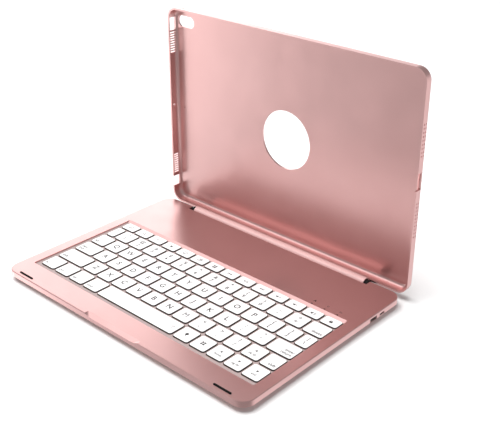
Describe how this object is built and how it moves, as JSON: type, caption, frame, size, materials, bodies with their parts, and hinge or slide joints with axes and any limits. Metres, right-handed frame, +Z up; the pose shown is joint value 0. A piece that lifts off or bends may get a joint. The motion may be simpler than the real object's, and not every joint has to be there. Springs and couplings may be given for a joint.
{
  "type": "tablet keyboard case",
  "caption": "Folding case for a tablet: a slim rose metal deck with a white chiclet keyboard, barrel-hinged to a shallow tray with windows for camera, emblem, buttons and sockets.",
  "frame": {"origin": "on the table, at the centre of the open case's footprint", "axes": "+X to the right along the keyboard, +Y from the deck's front edge to the hinge, +Z up"},
  "size_m": [0.254, 0.1914, 0.1833],
  "materials": {
    "rose_metal": "satin anodised rose",
    "rose_barrel": "satin anodised pale rose",
    "key_plastic": "white satin",
    "arm_plastic": "natural moulded",
    "dome_rubber": "translucent silicone",
    "black_rubber": "matte black",
    "steel": "plain",
    "film": "polyimide film",
    "light_guide": "clear moulded",
    "board": "solder mask",
    "cell_wrap": "foil pouch",
    "wire": "insulation",
    "black_plastic": "moulded"
  },
  "bodies": {
    "deck": {"top_cover": "rose_metal", "bottom_cover": "rose_metal", "key_grid": "rose_metal", "backlight_panel": "light_guide", "base_plate": "steel", "membrane": "film", "status_leds": "light_guide", "light_pipes": "light_guide", "membrane_ribbon": "film", "main_board": "board", "wireless_module": "steel", "battery_cell": "cell_wrap", "battery_wires": "wire", "charging_port": "steel", "power_switch_body": "black_plastic", "wake_magnet": "steel", "rubber_feet": "black_rubber", "front_bumpers": "black_rubber", "case_screws": "steel", "board_screws": "steel", "bracket_screws": "steel", "hinge_brackets": "steel", "function_key_domes": "dome_rubber", "number_key_domes": "dome_rubber", "upper_letter_key_domes": "dome_rubber", "home_letter_key_domes": "dome_rubber", "lower_letter_key_domes": "dome_rubber", "bottom_key_domes": "dome_rubber", "space_bar_domes": "dome_rubber"},
    "lid": {"tablet_tray": "rose_metal", "hinge_cover": "rose_barrel", "hinge_leaves": "steel", "hinge_shafts": "steel", "friction_washers": "steel", "tray_screws": "steel"},
    "switch_knob": {"power_switch_knob": "black_plastic"},
    "function_keys": {"function_keys": "key_plastic"},
    "function_key_inner_arms": {"function_key_inner_arms": "arm_plastic"},
    "function_key_outer_arms": {"function_key_outer_arms": "arm_plastic"},
    "number_keys": {"number_keys": "key_plastic"},
    "number_key_inner_arms": {"number_key_inner_arms": "arm_plastic"},
    "number_key_outer_arms": {"number_key_outer_arms": "arm_plastic"},
    "upper_letter_keys": {"upper_letter_keys": "key_plastic"},
    "upper_letter_key_inner_arms": {"upper_letter_key_inner_arms": "arm_plastic"},
    "upper_letter_key_outer_arms": {"upper_letter_key_outer_arms": "arm_plastic"},
    "home_letter_keys": {"home_letter_keys": "key_plastic"},
    "home_letter_key_inner_arms": {"home_letter_key_inner_arms": "arm_plastic"},
    "home_letter_key_outer_arms": {"home_letter_key_outer_arms": "arm_plastic"},
    "lower_letter_keys": {"lower_letter_keys": "key_plastic"},
    "lower_letter_key_inner_arms": {"lower_letter_key_inner_arms": "arm_plastic"},
    "lower_letter_key_outer_arms": {"lower_letter_key_outer_arms": "arm_plastic"},
    "bottom_keys": {"bottom_keys": "key_plastic"},
    "bottom_key_inner_arms": {"bottom_key_inner_arms": "arm_plastic"},
    "bottom_key_outer_arms": {"bottom_key_outer_arms": "arm_plastic"},
    "space_bar": {"space_bar": "key_plastic"},
    "space_bar_inner_arms": {"space_bar_inner_arms": "arm_plastic"},
    "space_bar_outer_arms": {"space_bar_outer_arms": "arm_plastic", "space_bar_stabiliser": "steel"}
  },
  "joints": [
    {"name": "lid_hinge", "type": "hinge", "parent": "deck", "child": "lid", "pos_m": [0, 0.08215, 0.00495], "axis": [1, 0, 0], "range_deg": [-30, 90]},
    {"name": "power_switch_slide", "type": "slide", "parent": "deck", "child": "switch_knob", "axis": [0, 1, 0], "range_m": [0, 0.003]},
    {"name": "function_key_press", "type": "slide", "parent": "deck", "child": "function_keys", "axis": [0, 0, -1], "range_m": [0, 0.0016], "stiffness_N_per_m": 400, "springref_m": -0.0005, "deforming": ["function_key_domes"]},
    {"name": "function_key_inner_arm_hinge", "type": "hinge", "parent": "deck", "child": "function_key_inner_arms", "pos_m": [0, 0.01306, 0.00405], "axis": [1, 0, 0], "range_deg": [-12.65, 0]},
    {"name": "function_key_outer_arm_hinge", "type": "hinge", "parent": "function_keys", "child": "function_key_outer_arms", "pos_m": [0, 0.01306, 0.00705], "axis": [1, 0, 0], "range_deg": [0, 12.65]},
    {"name": "number_key_press", "type": "slide", "parent": "deck", "child": "number_keys", "axis": [0, 0, -1], "range_m": [0, 0.0016], "stiffness_N_per_m": 400, "springref_m": -0.0005, "deforming": ["number_key_domes"]},
    {"name": "number_key_inner_arm_hinge", "type": "hinge", "parent": "deck", "child": "number_key_inner_arms", "pos_m": [0, -0.00268, 0.00405], "axis": [1, 0, 0], "range_deg": [-9.05, 0]},
    {"name": "number_key_outer_arm_hinge", "type": "hinge", "parent": "number_keys", "child": "number_key_outer_arms", "pos_m": [0, -0.00268, 0.00705], "axis": [1, 0, 0], "range_deg": [0, 9.05]},
    {"name": "upper_letter_key_press", "type": "slide", "parent": "deck", "child": "upper_letter_keys", "axis": [0, 0, -1], "range_m": [0, 0.0016], "stiffness_N_per_m": 400, "springref_m": -0.0005, "deforming": ["upper_letter_key_domes"]},
    {"name": "upper_letter_key_inner_arm_hinge", "type": "hinge", "parent": "deck", "child": "upper_letter_key_inner_arms", "pos_m": [0, -0.01938, 0.00405], "axis": [1, 0, 0], "range_deg": [-9.05, 0]},
    {"name": "upper_letter_key_outer_arm_hinge", "type": "hinge", "parent": "upper_letter_keys", "child": "upper_letter_key_outer_arms", "pos_m": [0, -0.01938, 0.00705], "axis": [1, 0, 0], "range_deg": [0, 9.05]},
    {"name": "home_letter_key_press", "type": "slide", "parent": "deck", "child": "home_letter_keys", "axis": [0, 0, -1], "range_m": [0, 0.0016], "stiffness_N_per_m": 400, "springref_m": -0.0005, "deforming": ["home_letter_key_domes"]},
    {"name": "home_letter_key_inner_arm_hinge", "type": "hinge", "parent": "deck", "child": "home_letter_key_inner_arms", "pos_m": [0, -0.03608, 0.00405], "axis": [1, 0, 0], "range_deg": [-9.05, 0]},
    {"name": "home_letter_key_outer_arm_hinge", "type": "hinge", "parent": "home_letter_keys", "child": "home_letter_key_outer_arms", "pos_m": [0, -0.03608, 0.00705], "axis": [1, 0, 0], "range_deg": [0, 9.05]},
    {"name": "lower_letter_key_press", "type": "slide", "parent": "deck", "child": "lower_letter_keys", "axis": [0, 0, -1], "range_m": [0, 0.0016], "stiffness_N_per_m": 400, "springref_m": -0.0005, "deforming": ["lower_letter_key_domes"]},
    {"name": "lower_letter_key_inner_arm_hinge", "type": "hinge", "parent": "deck", "child": "lower_letter_key_inner_arms", "pos_m": [0, -0.05278, 0.00405], "axis": [1, 0, 0], "range_deg": [-9.05, 0]},
    {"name": "lower_letter_key_outer_arm_hinge", "type": "hinge", "parent": "lower_letter_keys", "child": "lower_letter_key_outer_arms", "pos_m": [0, -0.05278, 0.00705], "axis": [1, 0, 0], "range_deg": [0, 9.05]},
    {"name": "bottom_key_press", "type": "slide", "parent": "deck", "child": "bottom_keys", "axis": [0, 0, -1], "range_m": [0, 0.0016], "stiffness_N_per_m": 400, "springref_m": -0.0005, "deforming": ["bottom_key_domes"]},
    {"name": "bottom_key_inner_arm_hinge", "type": "hinge", "parent": "deck", "child": "bottom_key_inner_arms", "pos_m": [0, -0.06948, 0.00405], "axis": [1, 0, 0], "range_deg": [-9.05, 0]},
    {"name": "bottom_key_outer_arm_hinge", "type": "hinge", "parent": "bottom_keys", "child": "bottom_key_outer_arms", "pos_m": [0, -0.06948, 0.00705], "axis": [1, 0, 0], "range_deg": [0, 9.05]},
    {"name": "space_bar_press", "type": "slide", "parent": "deck", "child": "space_bar", "axis": [0, 0, -1], "range_m": [0, 0.0016], "stiffness_N_per_m": 400, "springref_m": -0.0005, "deforming": ["space_bar_domes"]},
    {"name": "space_bar_inner_arm_hinge", "type": "hinge", "parent": "deck", "child": "space_bar_inner_arms", "pos_m": [0, -0.06948, 0.00405], "axis": [1, 0, 0], "range_deg": [-9.05, 0]},
    {"name": "space_bar_outer_arm_hinge", "type": "hinge", "parent": "space_bar", "child": "space_bar_outer_arms", "pos_m": [0, -0.06948, 0.00705], "axis": [1, 0, 0], "range_deg": [0, 9.05]}
  ],
  "couplings": [
    {"joint": "function_key_inner_arm_hinge", "follows": "function_key_press", "rad_per_m": -137.82},
    {"joint": "function_key_outer_arm_hinge", "follows": "function_key_press", "rad_per_m": 137.82},
    {"joint": "number_key_inner_arm_hinge", "follows": "number_key_press", "rad_per_m": -98.496},
    {"joint": "number_key_outer_arm_hinge", "follows": "number_key_press", "rad_per_m": 98.496},
    {"joint": "upper_letter_key_inner_arm_hinge", "follows": "upper_letter_key_press", "rad_per_m": -98.496},
    {"joint": "upper_letter_key_outer_arm_hinge", "follows": "upper_letter_key_press", "rad_per_m": 98.496},
    {"joint": "home_letter_key_inner_arm_hinge", "follows": "home_letter_key_press", "rad_per_m": -98.496},
    {"joint": "home_letter_key_outer_arm_hinge", "follows": "home_letter_key_press", "rad_per_m": 98.496},
    {"joint": "lower_letter_key_inner_arm_hinge", "follows": "lower_letter_key_press", "rad_per_m": -98.496},
    {"joint": "lower_letter_key_outer_arm_hinge", "follows": "lower_letter_key_press", "rad_per_m": 98.496},
    {"joint": "bottom_key_inner_arm_hinge", "follows": "bottom_key_press", "rad_per_m": -98.496},
    {"joint": "bottom_key_outer_arm_hinge", "follows": "bottom_key_press", "rad_per_m": 98.496},
    {"joint": "space_bar_inner_arm_hinge", "follows": "space_bar_press", "rad_per_m": -98.496},
    {"joint": "space_bar_outer_arm_hinge", "follows": "space_bar_press", "rad_per_m": 98.496}
  ]
}
